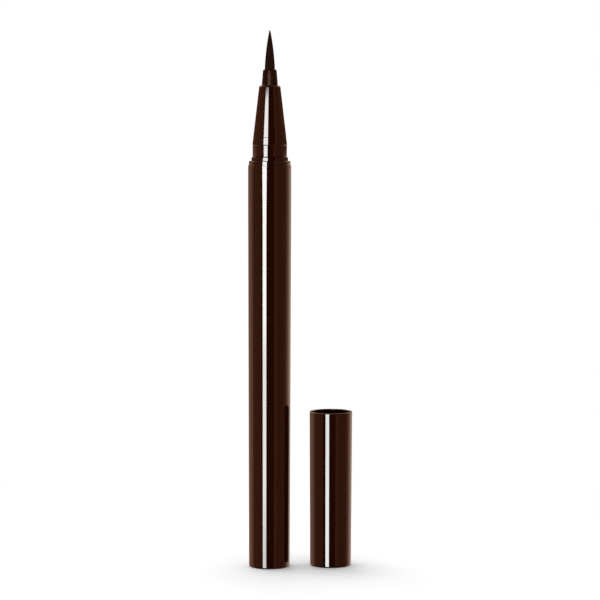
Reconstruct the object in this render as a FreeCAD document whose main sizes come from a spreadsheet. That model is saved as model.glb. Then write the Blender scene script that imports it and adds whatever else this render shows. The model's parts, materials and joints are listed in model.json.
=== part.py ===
"""Liquid eyeliner pen that stands on its tail, with its cap taken off and standing beside it.

Millimetres, +Z up. The origin is the centre of the pen's flat tail face and the pen's axis is +Z.
The cap stands to the right of the pen, closed end down, with its mouth up.

The pen holds free ink: the barrel is the tank, a comb behind the nose takes up ink that the air in the tank
drives out, and a fibre core carries ink to the nib. Inside the cap a sprung cup closes over the nib.
"""
import FreeCAD, Part
import math
import os
from types import SimpleNamespace

import Sketcher

# Driving dimensions: name, millimetres or a count, and what it measures
DIMENSIONS = (
    ("fit_gap", 0.03, "radial gap between pieces that are pressed together"),
    ("slide_gap", 0.15, "radial gap round the inner cap, which slides"),
    ("seat_gap", 0.02, "gap under the mixing ball and at the spring's two ends"),
    ("bore_radius", 3.95, "bore of the barrel, which every piece of the pen is built on"),
    ("barrel_length", 99.5, "tail face to the barrel's front edge"),
    ("barrel_front_wall", 1.37, "barrel wall at the front"),
    ("barrel_tail_wall", 1.10, "barrel wall at the tail"),
    ("barrel_land_length", 8.0, "straight stretch behind the barrel's front edge"),
    ("barrel_tail_rounding", 0.7, "rounding of the tail's outer edge"),
    ("barrel_front_rounding", 0.12, "rounding of the barrel's front edge"),
    ("plug_length", 7.0, "length of the tail plug"),
    ("plug_floor", 1.5, "thickness of the tail plug's end"),
    ("plug_wall", 1.0, "wall of the tail plug's cup"),
    ("plug_rounding", 0.2, "rounding of the tail plug's outer edge"),
    ("plug_seal_height", 4.4, "tail face to the middle of the tail seal"),
    ("seal_wire_radius", 0.22, "section radius of both ring seals"),
    ("ball_radius", 1.5, "mixing ball"),
    ("spigot_length", 8.0, "length of the nose that goes into the barrel"),
    ("section_seal_height", 3.2, "spigot's end to the middle of the section seal"),
    ("collar_height", 2.0, "height of the collar ring"),
    ("collar_band_height", 1.05, "height of the collar's wide band"),
    ("collar_band_wall", 1.18, "collar wall at its wide band"),
    ("collar_shoulder_wall", 0.60, "collar wall at the foot of its sloping shoulder"),
    ("collar_top_wall", 0.51, "collar wall at its top"),
    ("collar_rounding", 0.15, "rounding of the collar's two outer edges"),
    ("cap_overlap", 0.15, "how far the cap's rim comes down over the collar's shoulder"),
    ("seat_step", 0.30, "how far the cap seat stands out over the spigot"),
    ("seat_length", 3.0, "length of the straight cap seat"),
    ("snap_height", 1.87, "height of the snap ring"),
    ("snap_depth", 0.47, "depth of the snap ring's groove below the cap seat"),
    ("snap_proud", 0.055, "how far the snap ring stands out over the cap seat"),
    ("snap_rounding", 0.15, "rounding of the snap ring's crest"),
    ("nose_root_step", 0.16, "how far the cone's root lies inside the cap seat"),
    ("nose_length", 12.73, "length of the nose cone in front of the snap ring"),
    ("nose_tip_wall", 0.564, "wall of the nose cone at its front"),
    ("nose_rounding", 0.4, "rounding of the nose cone's front edge"),
    ("holder_grip", 9.6, "length of the nib holder inside the nose's front bore"),
    ("holder_reach", 3.9, "length of the nib holder in front of the nose"),
    ("holder_wall", 0.69, "wall of the nib holder at the nose"),
    ("holder_tip_wall", 0.37, "wall of the nib holder at its front"),
    ("holder_shoulder", 0.44, "width of the shoulder that stops the nib holder"),
    ("holder_flange_height", 1.4, "height of the nib holder's flange"),
    ("holder_rounding", 0.25, "rounding of the nib holder's front edge"),
    ("nib_radius", 1.26, "nib where it leaves its holder"),
    ("nib_length", 9.5, "length of the nib in front of its holder"),
    ("nib_stem_length", 11.0, "length of the nib's stem in the holder"),
    ("nib_flank_radius", 78.0, "radius of the nib's swelling flank, seen from the side"),
    ("nib_point_radius", 0.13, "rounding of the nib's point"),
    ("core_radius", 0.85, "fibre core that feeds the nib"),
    ("core_dip", 3.0, "how far the fibre core reaches into the tank"),
    ("fin_count", 20, "number of fins on the comb"),
    ("fin_thickness", 0.4, "thickness of one fin"),
    ("fin_pitch", 0.9, "fin to fin"),
    ("fin_play", 0.12, "gap between the fins and the barrel's bore"),
    ("comb_core_wall", 1.5, "wall of the comb's stem round the fibre core"),
    ("comb_tail_height", 2.0, "height of the comb's rear flange"),
    ("comb_front_height", 1.0, "height of the comb's front flange"),
    ("comb_slit_width", 0.3, "width of the ink slit along the comb"),
    ("comb_slit_wall", 0.5, "wall left between the ink slit and the fibre core"),
    ("cap_gap", 4.88, "gap between the pen's tail and the widest part of the cap"),
    ("cap_back", 1.8, "how far the cap stands behind the pen"),
    ("cap_play", 0.18, "radial gap between the cap's bore and the cap seat"),
    ("cap_wall", 0.89, "cap wall at the mouth"),
    ("cap_end_wall", 1.06, "cap wall at the closed end"),
    ("cap_floor", 1.1, "thickness of the cap's closed end"),
    ("cap_rim_rounding", 0.3, "rounding of the cap's rim, inside and outside"),
    ("cap_end_rounding", 0.7, "rounding of the cap's closed end"),
    ("retainer_height", 1.2, "height of the ring that keeps the inner cap in"),
    ("retainer_width", 0.96, "radial width of that ring"),
    ("retainer_step", 0.22, "step from the cap's bore to the ring's seat"),
    ("retainer_ledge", 0.15, "ledge that the ring rests on"),
    ("retainer_lead", 0.2, "depth of the ring below the end of the cap's bore"),
    ("inner_cap_press", 1.0, "how far the nose pushes the inner cap in when the cap is on"),
    ("inner_cap_wall", 0.8, "side and end wall of the inner cap"),
    ("inner_cap_draft", 0.4, "how much narrower the inner cap is at its closed end"),
    ("inner_cap_flange", 1.6, "height of the inner cap's guide flange"),
    ("nib_side_room", 0.32, "room round the nib holder in the inner cap"),
    ("nib_end_room", 0.95, "room in front of the nib in the inner cap"),
    ("boss_radius", 1.7, "bosses that centre the spring's two ends"),
    ("boss_height", 1.0, "height of those bosses"),
    ("spring_length", 5.5, "room for the spring behind the inner cap at rest"),
    ("spring_wire_radius", 0.2, "section radius of the spring's wire"),
    ("spring_gap", 0.4, "gap between the spring and its bosses"),
    ("spring_turns", 4, "turns of the spring"),
)

doc = FreeCAD.newDocument("eyeliner_pen")
sheet = doc.addObject("Spreadsheet::Sheet", "Sizes")


class Length:
    """A length as an expression on the sheet's cells, with the value that it has now."""

    def __init__(self, text, value):
        self.text = text
        self.value = value

    def _join(self, sign, other, value):
        return Length(f"({self.text} {sign} {other.text})", value)

    def __add__(self, other):
        return self._join("+", other, self.value + other.value)

    def __sub__(self, other):
        return self._join("-", other, self.value - other.value)

    def __mul__(self, other):
        return self._join("*", other, self.value * other.value)

    def twice(self):
        return Length(f"({self.text} * 2)", self.value * 2)


def fill_sheet():
    """Writes the dimensions to the sheet, one row each, and returns them as lengths by name."""
    lengths = {}
    for row, (name, value, note) in enumerate(DIMENSIONS, start=1):
        sheet.set(f"A{row}", name)
        sheet.set(f"B{row}", str(value))
        sheet.set(f"C{row}", note)
        sheet.setAlias(f"B{row}", name)
        lengths[name] = Length(f"Sizes.{name}", value)
    doc.recompute()
    return SimpleNamespace(**lengths)


size = fill_sheet()
ON_AXIS = Length("0", 0.0)
AT_ZERO = Length("0", 0.0)
SAME_PLACE = 1e-4

# Radii of the pen, from the barrel's bore outwards and from the nib outwards
spigot_radius = size.bore_radius - size.fit_gap
seat_radius = spigot_radius + size.seat_step
nose_root_radius = seat_radius - size.nose_root_step
snap_groove_radius = seat_radius - size.snap_depth
nib_bore_radius = size.nib_radius + size.fit_gap
holder_radius = nib_bore_radius + size.holder_wall
front_bore_radius = holder_radius + size.fit_gap
passage_radius = front_bore_radius + size.holder_shoulder
passage_fit_radius = passage_radius - size.fit_gap
core_bore_radius = size.core_radius + size.fit_gap
seal_groove_radius = size.bore_radius - size.seal_wire_radius.twice() - size.fit_gap.twice()
seal_ring_radius = seal_groove_radius + size.fit_gap + size.seal_wire_radius
seal_groove_half = size.seal_wire_radius + size.fit_gap

# Heights along the pen, from the tail face up
section_rear = size.barrel_length - size.spigot_length
collar_top = size.barrel_length + size.collar_height
nose_front = collar_top + size.seat_length + size.snap_height + size.nose_length
holder_stop = nose_front - size.holder_grip
holder_rear = holder_stop - size.holder_flange_height
holder_front = nose_front + size.holder_reach
stem_rear = holder_front - size.nib_stem_length
fin_gap = size.fin_pitch - size.fin_thickness
fins_height = size.fin_count * size.fin_pitch + fin_gap
comb_height = size.comb_tail_height + fins_height + size.comb_front_height
comb_rear = section_rear - comb_height

# Radii of the cap, from the pen's cap seat outwards and inwards
cap_bore_radius = seat_radius + size.cap_play
cap_mouth_radius = cap_bore_radius + size.cap_wall
retainer_seat_radius = cap_bore_radius - size.retainer_step
guide_radius = retainer_seat_radius - size.retainer_ledge
cap_end_radius = guide_radius + size.cap_end_wall
cavity_radius = holder_radius + size.nib_side_room
inner_cap_radius = cavity_radius + size.inner_cap_wall

# Heights in the cap, from its closed end up: the parts that it covers set its length
cavity_depth = size.holder_reach + size.nib_length + size.nib_end_room
nose_depth = size.cap_overlap + size.seat_length + size.snap_height + size.nose_length
retainer_depth = nose_depth - size.inner_cap_press
inner_cap_end = size.cap_floor + size.spring_length
cavity_floor = inner_cap_end + size.inner_cap_wall
retainer_bottom = cavity_floor + cavity_depth
cap_length = retainer_bottom + retainer_depth
cap_bore_end = retainer_bottom + size.retainer_height + size.retainer_lead

# Place of the cap beside the pen
cap_x = size.bore_radius + size.barrel_tail_wall + size.cap_gap + cap_mouth_radius
cap_y = size.cap_back


def place(piece, x=None, y=None, z=None):
    """Ties a piece's place to the sheet, axis by axis."""
    for axis, length in (("x", x), ("y", y), ("z", z)):
        if length is not None:
            piece.setExpression(f"Placement.Base.{axis}", length.text)


def place_in_cap(piece, height):
    """Ties a piece's place to the cap's, at a height over the cap's closed end."""
    place(piece, x=cap_x, y=cap_y, z=height)


def half_section(body, name):
    """An empty sketch on the body's upright plane: across is radius, up is height."""
    plane = next(item for item in body.Origin.OriginFeatures if item.Role == "XZ_Plane")
    sketch = body.newObject("Sketcher::SketchObject", name)
    sketch.AttachmentSupport = [(plane, "")]
    sketch.MapMode = "FlatFace"
    return sketch


def bind(sketch, constraint, name, length):
    """Adds one dimension to a sketch and ties it to the sheet."""
    index = sketch.addConstraint(constraint)
    sketch.renameConstraint(index, name)
    sketch.setExpression(f"Constraints.{name}", length.text)


def pin_start(sketch, edge, radius, height):
    """Holds the start of one edge at a radius and a height."""
    start, origin = (edge, 1), (-1, 1)
    horizontal_axis, vertical_axis = -1, -2
    if radius is ON_AXIS:
        sketch.addConstraint(Sketcher.Constraint("PointOnObject", *start, vertical_axis))
    else:
        across = Sketcher.Constraint("DistanceX", *origin, *start, radius.value)
        bind(sketch, across, f"radius_{edge}", radius)
    if height is AT_ZERO:
        sketch.addConstraint(Sketcher.Constraint("PointOnObject", *start, horizontal_axis))
    else:
        up = Sketcher.Constraint("DistanceY", *origin, *start, height.value)
        bind(sketch, up, f"height_{edge}", height)


def outward_arc(start, end, radius):
    """A circular arc between two points of a sketch that swells away from the axis."""
    chord = end - start
    outward = FreeCAD.Vector(chord.y, -chord.x, 0).normalize()
    swell = radius - math.sqrt(radius ** 2 - chord.Length ** 2 / 4)
    return Part.Arc(start, (start + end) * 0.5 + outward * swell, end)


def draw_outline(sketch, points):
    """Draws a closed outline through (radius, height) points.

    A point with a third value, a radius, starts an arc that swells away from the axis.
    """
    spots = [FreeCAD.Vector(radius.value, height.value, 0) for radius, height, *_ in points]
    for start, end, (_, _, *bend) in zip(spots, spots[1:] + spots[:1], points):
        if bend:
            sketch.addGeometry(outward_arc(start, end, bend[0].value), False)
        else:
            sketch.addGeometry(Part.LineSegment(start, end), False)
    count = len(points)
    for edge, (radius, height, *_) in enumerate(points):
        sketch.addConstraint(Sketcher.Constraint("Coincident", edge, 2, (edge + 1) % count, 1))
        pin_start(sketch, edge, radius, height)
    for edge, (_, _, *bend) in enumerate(points):
        for radius in bend:
            bind(sketch, Sketcher.Constraint("Radius", edge, radius.value), f"bend_{edge}", radius)


def turn_outline(body, name, points):
    """Turns an outline of (radius, height) points once round the body's axis."""
    sketch = half_section(body, f"{name}_outline")
    draw_outline(sketch, points)
    turned = body.newObject("PartDesign::Revolution", f"{name}_turned")
    turned.Profile = sketch
    turned.ReferenceAxis = (sketch, ["V_Axis"])
    turned.Angle = 360
    return turned


def turned_body(label, points):
    """A body with its label, turned from one outline."""
    body = doc.addObject("PartDesign::Body", label)
    body.Label = label
    turn_outline(body, label, points)
    return body


def primitive(kind, label, **measures):
    """A Part primitive with its label and its measures tied to the sheet."""
    piece = doc.addObject(kind, label)
    piece.Label = label
    for measure, length in measures.items():
        piece.setExpression(measure, length.text)
    return piece


def round_edges(body, rounding, *rings):
    """Rounds the body's circular edges at the given (radius, height) rings."""
    doc.recompute()
    base = body.Tip
    names = []
    for number, edge in enumerate(base.Shape.Edges, start=1):
        if not isinstance(edge.Curve, Part.Circle):
            continue
        for radius, height in rings:
            off_radius = abs(edge.Curve.Radius - radius.value)
            off_height = abs(edge.Curve.Center.z - height.value)
            if max(off_radius, off_height) < SAME_PLACE:
                names.append(f"Edge{number}")
    if len(names) != len(rings):
        raise RuntimeError(f"{body.Label}: found {len(names)} of {len(rings)} edges to round")
    fillet = body.newObject("PartDesign::Fillet", f"{body.Label}_rounding")
    fillet.Base = (base, names)
    fillet.setExpression("Radius", rounding.text)


def seal_groove(middle):
    """Points of a ring seal's groove in a spigot, from its lower edge to its upper edge."""
    low = middle - seal_groove_half
    high = middle + seal_groove_half
    lower_wall = [(spigot_radius, low), (seal_groove_radius, low)]
    upper_wall = [(seal_groove_radius, high), (spigot_radius, high)]
    return lower_wall + upper_wall


def ring_seal(label, height):
    """A round ring seal in its groove, at a height on the pen's axis."""
    seal = primitive("Part::Torus", label, Radius1=seal_ring_radius, Radius2=size.seal_wire_radius)
    place(seal, z=height)
    return seal


def barrel():
    """The gloss tube: straight behind its front edge, then drawn in towards the tail."""
    tail_radius = size.bore_radius + size.barrel_tail_wall
    front_radius = size.bore_radius + size.barrel_front_wall
    tube = turned_body("barrel", [
        (size.bore_radius, AT_ZERO),
        (tail_radius, AT_ZERO),
        (front_radius, size.barrel_length - size.barrel_land_length),
        (front_radius, size.barrel_length),
        (size.bore_radius, size.barrel_length),
    ])
    round_edges(tube, size.barrel_tail_rounding, (tail_radius, AT_ZERO))
    round_edges(tube, size.barrel_front_rounding, (front_radius, size.barrel_length))
    return tube


def tail_plug():
    """The cup that closes the tank, flush with the barrel's tail."""
    cup_radius = spigot_radius - size.plug_wall
    plug = turned_body("tail_plug", [
        (ON_AXIS, AT_ZERO),
        (spigot_radius, AT_ZERO),
        *seal_groove(size.plug_seal_height),
        (spigot_radius, size.plug_length),
        (cup_radius, size.plug_length),
        (cup_radius, size.plug_floor),
        (ON_AXIS, size.plug_floor),
    ])
    round_edges(plug, size.plug_rounding, (spigot_radius, AT_ZERO))
    return plug


def mixing_ball():
    """The loose steel ball that stirs the ink, at rest in the tail plug's cup."""
    ball = primitive("Part::Sphere", "mixing_ball", Radius=size.ball_radius)
    place(ball, z=size.plug_floor + size.seat_gap + size.ball_radius)
    return ball


def collar_ring():
    """The stepped ring between barrel and nose: a wide band, then a sloping shoulder."""
    band_radius = size.bore_radius + size.collar_band_wall
    shoulder_radius = size.bore_radius + size.collar_shoulder_wall
    top_radius = size.bore_radius + size.collar_top_wall
    collar = turned_body("collar_ring", [
        (size.bore_radius, AT_ZERO),
        (band_radius, AT_ZERO),
        (band_radius, size.collar_band_height),
        (shoulder_radius, size.collar_band_height),
        (top_radius, size.collar_height),
        (size.bore_radius, size.collar_height),
    ])
    band_edge = (band_radius, size.collar_band_height)
    top_edge = (top_radius, size.collar_height)
    round_edges(collar, size.collar_rounding, band_edge, top_edge)
    place(collar, z=size.barrel_length)
    return collar


def front_section():
    """The nose, bored for the nib holder: spigot, seal groove, cap seat, snap ring groove and cone."""
    seat_low = size.spigot_length + size.collar_height
    seat_high = seat_low + size.seat_length
    root = seat_high + size.snap_height
    front = root + size.nose_length
    stop = front - size.holder_grip
    tip_radius = front_bore_radius + size.nose_tip_wall
    section = turned_body("front_section", [
        (passage_radius, AT_ZERO),
        (spigot_radius, AT_ZERO),
        *seal_groove(size.section_seal_height),
        (spigot_radius, seat_low),
        (seat_radius, seat_low),
        (seat_radius, seat_high),
        (snap_groove_radius, seat_high),
        (snap_groove_radius, root),
        (nose_root_radius, root),
        (tip_radius, front),
        (front_bore_radius, front),
        (front_bore_radius, stop),
        (passage_radius, stop),
    ])
    round_edges(section, size.nose_rounding, (tip_radius, front))
    place(section, z=section_rear)
    return section


def snap_ring():
    """The band that the cap clicks over: it carries the cone on and ends in a small crest."""
    inner_radius = snap_groove_radius + size.fit_gap
    crest_radius = seat_radius + size.snap_proud
    ring = turned_body("snap_ring", [
        (inner_radius, AT_ZERO),
        (crest_radius, AT_ZERO),
        (nose_root_radius, size.snap_height),
        (inner_radius, size.snap_height),
    ])
    round_edges(ring, size.snap_rounding, (crest_radius, AT_ZERO))
    place(ring, z=collar_top + size.seat_length)
    return ring


def nib_holder():
    """The sleeve that holds the nib: flange behind the nose's stop, straight grip, tapered front."""
    grip_low = size.holder_flange_height
    grip_high = grip_low + size.holder_grip
    front = grip_high + size.holder_reach
    stem_stop = front - size.nib_stem_length
    tip_radius = nib_bore_radius + size.holder_tip_wall
    holder = turned_body("nib_holder", [
        (core_bore_radius, AT_ZERO),
        (passage_fit_radius, AT_ZERO),
        (passage_fit_radius, grip_low),
        (holder_radius, grip_low),
        (holder_radius, grip_high),
        (tip_radius, front),
        (nib_bore_radius, front),
        (nib_bore_radius, stem_stop),
        (core_bore_radius, stem_stop),
    ])
    round_edges(holder, size.holder_rounding, (tip_radius, front))
    place(holder, z=holder_rear)
    return holder


def nib():
    """The fibre tip on its straight stem: a long flank that swells a little, and a small round point."""
    tip_height = size.nib_stem_length + size.nib_length
    tip = turned_body("nib", [
        (ON_AXIS, AT_ZERO),
        (size.nib_radius, AT_ZERO),
        (size.nib_radius, size.nib_stem_length, size.nib_flank_radius),
        (size.nib_point_radius, tip_height - size.nib_point_radius, size.nib_point_radius),
        (ON_AXIS, tip_height),
    ])
    place(tip, z=stem_rear)
    return tip


def relay_core():
    """The fibre rod from the tank, through the comb, to the nib's stem."""
    rear = comb_rear - size.core_dip
    core = primitive("Part::Cylinder", "relay_core", Radius=size.core_radius, Height=stem_rear - rear)
    place(core, z=rear)
    return core


def ink_collector():
    """The comb behind the nose: two flanges, a stem with thin fins and an ink slit, and the front tube."""
    stem_radius = core_bore_radius + size.comb_core_wall
    fin_radius = size.bore_radius - size.fin_play
    front_low = size.comb_tail_height + fins_height
    tube_top = holder_rear - comb_rear
    comb = turned_body("ink_collector", [
        (core_bore_radius, AT_ZERO),
        (spigot_radius, AT_ZERO),
        (spigot_radius, size.comb_tail_height),
        (stem_radius, size.comb_tail_height),
        (stem_radius, front_low),
        (spigot_radius, front_low),
        (spigot_radius, comb_height),
        (passage_fit_radius, comb_height),
        (passage_fit_radius, tube_top),
        (core_bore_radius, tube_top),
    ])
    fin_low = size.comb_tail_height + fin_gap
    fin_high = fin_low + size.fin_thickness
    fin_root = stem_radius - size.fin_thickness
    fin = turn_outline(comb, "comb_fin", [
        (fin_root, fin_low),
        (fin_radius, fin_low),
        (fin_radius, fin_high),
        (fin_root, fin_high),
    ])
    upright = next(item for item in comb.Origin.OriginFeatures if item.Role == "Z_Axis")
    fins = comb.newObject("PartDesign::LinearPattern", "comb_fins")
    fins.Originals = [fin]
    fins.Direction = (upright, [""])
    fins.Mode = "Spacing"
    fins.setExpression("Offset", size.fin_pitch.text)
    fins.setExpression("Occurrences", size.fin_count.text)
    comb.Tip = fins
    doc.recompute()
    uncut_volume = comb.Shape.Volume
    slit_root = core_bore_radius + size.comb_slit_wall
    slit_outline = half_section(comb, "comb_slit_outline")
    draw_outline(slit_outline, [
        (slit_root, AT_ZERO),
        (size.bore_radius, AT_ZERO),
        (size.bore_radius, front_low),
        (slit_root, front_low),
    ])
    slit = comb.newObject("PartDesign::Pocket", "comb_slit")
    slit.Profile = slit_outline
    slit.SideType = "Symmetric"
    slit.setExpression("Length", size.comb_slit_width.text)
    place(comb, z=comb_rear)
    doc.recompute()
    if comb.Shape.Volume >= uncut_volume:
        raise RuntimeError("the ink slit cuts nothing")
    return comb


def cap_shell():
    """The gloss cap: straight bore at its mouth, then the retainer's seat and the inner cap's guide bore."""
    shell = turned_body("cap_shell", [
        (ON_AXIS, AT_ZERO),
        (cap_end_radius, AT_ZERO),
        (cap_mouth_radius, cap_length),
        (cap_bore_radius, cap_length),
        (cap_bore_radius, cap_bore_end),
        (retainer_seat_radius, cap_bore_end),
        (retainer_seat_radius, retainer_bottom),
        (guide_radius, retainer_bottom),
        (guide_radius, size.cap_floor),
        (size.boss_radius, size.cap_floor),
        (size.boss_radius, size.cap_floor + size.boss_height),
        (ON_AXIS, size.cap_floor + size.boss_height),
    ])
    round_edges(shell, size.cap_end_rounding, (cap_end_radius, AT_ZERO))
    round_edges(shell, size.cap_rim_rounding, (cap_mouth_radius, cap_length), (cap_bore_radius, cap_length))
    place_in_cap(shell, AT_ZERO)
    return shell


def inner_cap_retainer():
    """The ring pressed into the cap, on its ledge, over the inner cap's flange."""
    outer_radius = retainer_seat_radius - size.fit_gap
    inner_radius = outer_radius - size.retainer_width
    ring = turned_body("inner_cap_retainer", [
        (inner_radius, AT_ZERO),
        (outer_radius, AT_ZERO),
        (outer_radius, size.retainer_height),
        (inner_radius, size.retainer_height),
    ])
    place_in_cap(ring, retainer_bottom)
    return ring


def inner_cap():
    """The cup that closes over the nib: boss for the spring, tapered body, guide flange at its mouth."""
    body_low = size.boss_height
    floor = body_low + size.inner_cap_wall
    mouth = floor + cavity_depth
    flange_low = mouth - size.inner_cap_flange
    flange_radius = guide_radius - size.slide_gap
    cup = turned_body("inner_cap", [
        (ON_AXIS, AT_ZERO),
        (size.boss_radius, AT_ZERO),
        (size.boss_radius, body_low),
        (inner_cap_radius - size.inner_cap_draft, body_low),
        (inner_cap_radius, flange_low),
        (flange_radius, flange_low),
        (flange_radius, mouth),
        (cavity_radius, mouth),
        (cavity_radius - size.inner_cap_draft, floor),
        (ON_AXIS, floor),
    ])
    place_in_cap(cup, inner_cap_end - size.boss_height)
    return cup


def biarc(start, start_way, end, end_way):
    """Two arcs from start to end that meet smoothly and leave along the two unit directions given."""
    across = end - start
    ways = start_way + end_way
    spread = 4 - ways.dot(ways)
    along = across.dot(ways)
    reach = (math.sqrt(along ** 2 + spread * across.dot(across)) - along) / spread
    first_corner = start + start_way * reach
    second_corner = end - end_way * reach
    joint = (first_corner + second_corner) * 0.5
    arcs = []
    for left, corner, right in ((start, first_corner, joint), (joint, second_corner, end)):
        weight = (right - left).Length / (2 * reach)
        middle = (left + corner * (2 * weight) + right) * (1 / (2 + 2 * weight))
        arcs.append(Part.Arc(left, middle, right).toShape())
    return arcs


def least_gap(turn_points, steps_per_turn, wire_radius):
    """Least clear gap between the wire's turns, measured on points that lie at least half a turn apart."""
    gap = math.inf
    half_turn = steps_per_turn // 2
    for index, point in enumerate(turn_points):
        for other in turn_points[index + half_turn:]:
            gap = min(gap, point.distanceToPoint(other) - 2 * wire_radius)
    return gap


def inner_cap_spring():
    """The coil spring between the cap's floor and the inner cap: one wire wound on a steady helix."""
    wire_radius = size.spring_wire_radius.value
    coil_radius = size.boss_radius.value + size.spring_gap.value + wire_radius
    wound_height = size.spring_length.value - 2 * (wire_radius + size.seat_gap.value)
    turns = size.spring_turns.value
    rise = wound_height / (2 * math.pi * turns)
    wire_way = math.hypot(coil_radius, rise)

    def helix(angle):
        point = FreeCAD.Vector(coil_radius * math.cos(angle), coil_radius * math.sin(angle), rise * angle)
        way = FreeCAD.Vector(-coil_radius * math.sin(angle), coil_radius * math.cos(angle), rise)
        return point, way * (1 / wire_way)

    spans = math.ceil(2 * turns)
    angles = [2 * math.pi * turns * number / spans for number in range(spans + 1)]
    edges = []
    for first, second in zip(angles, angles[1:]):
        edges.extend(biarc(*helix(first), *helix(second)))
    start, start_way = helix(0)
    section = Part.Wire(Part.makeCircle(wire_radius, start, start_way))
    shell = Part.BRepOffsetAPI.MakePipeShell(Part.Wire(edges))
    shell.add(section)
    shell.build()
    shell.makeSolid()
    steps_per_turn = 36
    samples = range(int(turns * steps_per_turn) + 1)
    points = [helix(2 * math.pi * step / steps_per_turn)[0] for step in samples]
    gap = least_gap(points, steps_per_turn, wire_radius)
    print(f"inner cap spring: least gap between turns {gap:.2f} mm")
    spring = doc.addObject("Part::Feature", "inner_cap_spring")
    spring.Label = "inner_cap_spring"
    spring.Shape = shell.shape()
    low = size.cap_floor + size.seat_gap + size.spring_wire_radius
    place_in_cap(spring, low)
    return spring


def main():
    """Builds every piece, tests the document and writes one STEP file for each piece."""
    pieces = [
        barrel(),
        tail_plug(),
        ring_seal("tail_seal", size.plug_seal_height),
        mixing_ball(),
        ink_collector(),
        relay_core(),
        front_section(),
        ring_seal("section_seal", section_rear + size.section_seal_height),
        collar_ring(),
        snap_ring(),
        nib_holder(),
        nib(),
        cap_shell(),
        inner_cap_retainer(),
        inner_cap(),
        inner_cap_spring(),
    ]
    doc.recompute()
    for item in doc.Objects:
        if "Invalid" in item.State or "Error" in item.State:
            raise RuntimeError(f"{item.Label} failed: {item.State}")
    for piece in pieces:
        shape = piece.Shape
        if shape.isNull() or not shape.isValid() or len(shape.Solids) != 1:
            raise RuntimeError(f"{piece.Label} isn't one valid solid")
    os.makedirs("parts", exist_ok=True)
    for piece in pieces:
        piece.Shape.exportStep(f"parts/{piece.Label}.step")
        box = piece.Shape.BoundBox
        print(f"{piece.Label}: {piece.Shape.Volume:.1f} mm3, z {box.ZMin:.2f} to {box.ZMax:.2f}")


main()
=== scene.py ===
"""Looks of a liquid eyeliner pen and its cap, laid out as a Blender add-on and run as a script.

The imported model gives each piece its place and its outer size. Eleven pieces are replaced by finer surfaces
with rounded edges and fine seams, the five inside the pen get their finishes, and a small studio stands
round them. Lengths are metres in the model's own frame: the pen's axis is +Z, its tail face is at height
zero, the viewer is on the -Y side and the cap stands on the +X side.
"""
import json
import math

import bpy
import numpy as np
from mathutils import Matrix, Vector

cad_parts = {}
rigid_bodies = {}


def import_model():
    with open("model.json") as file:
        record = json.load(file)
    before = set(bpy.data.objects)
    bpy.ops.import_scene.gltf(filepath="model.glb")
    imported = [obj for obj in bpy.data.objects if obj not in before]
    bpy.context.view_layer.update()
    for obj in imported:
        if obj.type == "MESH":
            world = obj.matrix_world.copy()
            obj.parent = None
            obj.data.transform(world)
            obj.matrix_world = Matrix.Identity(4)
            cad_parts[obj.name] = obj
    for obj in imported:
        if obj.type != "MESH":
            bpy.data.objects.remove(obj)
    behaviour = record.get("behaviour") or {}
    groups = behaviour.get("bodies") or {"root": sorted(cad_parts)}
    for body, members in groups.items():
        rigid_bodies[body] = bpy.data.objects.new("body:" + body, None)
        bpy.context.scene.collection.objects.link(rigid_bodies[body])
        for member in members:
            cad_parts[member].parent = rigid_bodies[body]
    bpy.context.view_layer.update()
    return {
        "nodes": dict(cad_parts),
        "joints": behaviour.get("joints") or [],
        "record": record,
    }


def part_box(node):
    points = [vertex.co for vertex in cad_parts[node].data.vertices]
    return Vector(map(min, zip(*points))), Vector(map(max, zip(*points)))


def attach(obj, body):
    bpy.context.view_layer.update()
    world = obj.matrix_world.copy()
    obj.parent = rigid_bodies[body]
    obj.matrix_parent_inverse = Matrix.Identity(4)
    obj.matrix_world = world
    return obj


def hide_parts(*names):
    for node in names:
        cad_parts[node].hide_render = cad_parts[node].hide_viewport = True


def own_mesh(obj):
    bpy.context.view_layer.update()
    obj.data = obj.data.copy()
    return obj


bl_info = {
    "name": "Eyeliner Pen Looks",
    "version": (1, 0, 0),
    "blender": (4, 5, 0),
    "location": "3D View > Sidebar > Pen",
    "description": "Turned gloss shells, fibre nib, sprung inner cap and a small studio for an eyeliner pen",
    "category": "Object",
}

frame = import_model()
MM = 0.001
UP = (0.0, 0.0, 1.0)
DOWN = (0.0, 0.0, -1.0)
BLACK = (0.0, 0.0, 0.0)
WHITE = (1.0, 1.0, 1.0)
SLOT_COLOURS = {row["slot"]: row["base_color"] for row in frame["record"]["materials"]}


class Turned:
    """Axis, outer radius and heights of a CAD node that is round about an upright axis."""

    def __init__(self, node):
        low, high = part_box(node)
        self.node = node
        self.axis = ((low.x + high.x) / 2, (low.y + high.y) / 2)
        self.radius = max(high.x - low.x, high.y - low.y) / 2
        self.low = low.z
        self.high = high.z


# Sizes, finishes and stage that a user may change

def length(name, millimetres, description):
    """A length property, written in millimetres and kept in metres."""
    return bpy.props.FloatProperty(
        name=name, description=description, default=millimetres * MM, min=0.0, precision=5,
        subtype="DISTANCE", unit="LENGTH")


def colour(name, default, description):
    """A linear colour property."""
    return bpy.props.FloatVectorProperty(
        name=name, description=description, default=default, min=0.0, max=1.0, size=3, subtype="COLOR")


def share(name, default, description):
    """A property between nought and one."""
    return bpy.props.FloatProperty(
        name=name, description=description, default=default, min=0.0, max=1.0, precision=3, subtype="FACTOR")


def strength(name, default, description):
    """A light level, where one is plain white."""
    return bpy.props.FloatProperty(name=name, description=description, default=default, min=0.0, precision=3)


def bearing(name, degrees, description):
    """An angle property, written in degrees and kept in radians."""
    return bpy.props.FloatProperty(
        name=name, description=description, default=math.radians(degrees), subtype="ANGLE", unit="ROTATION")


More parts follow.
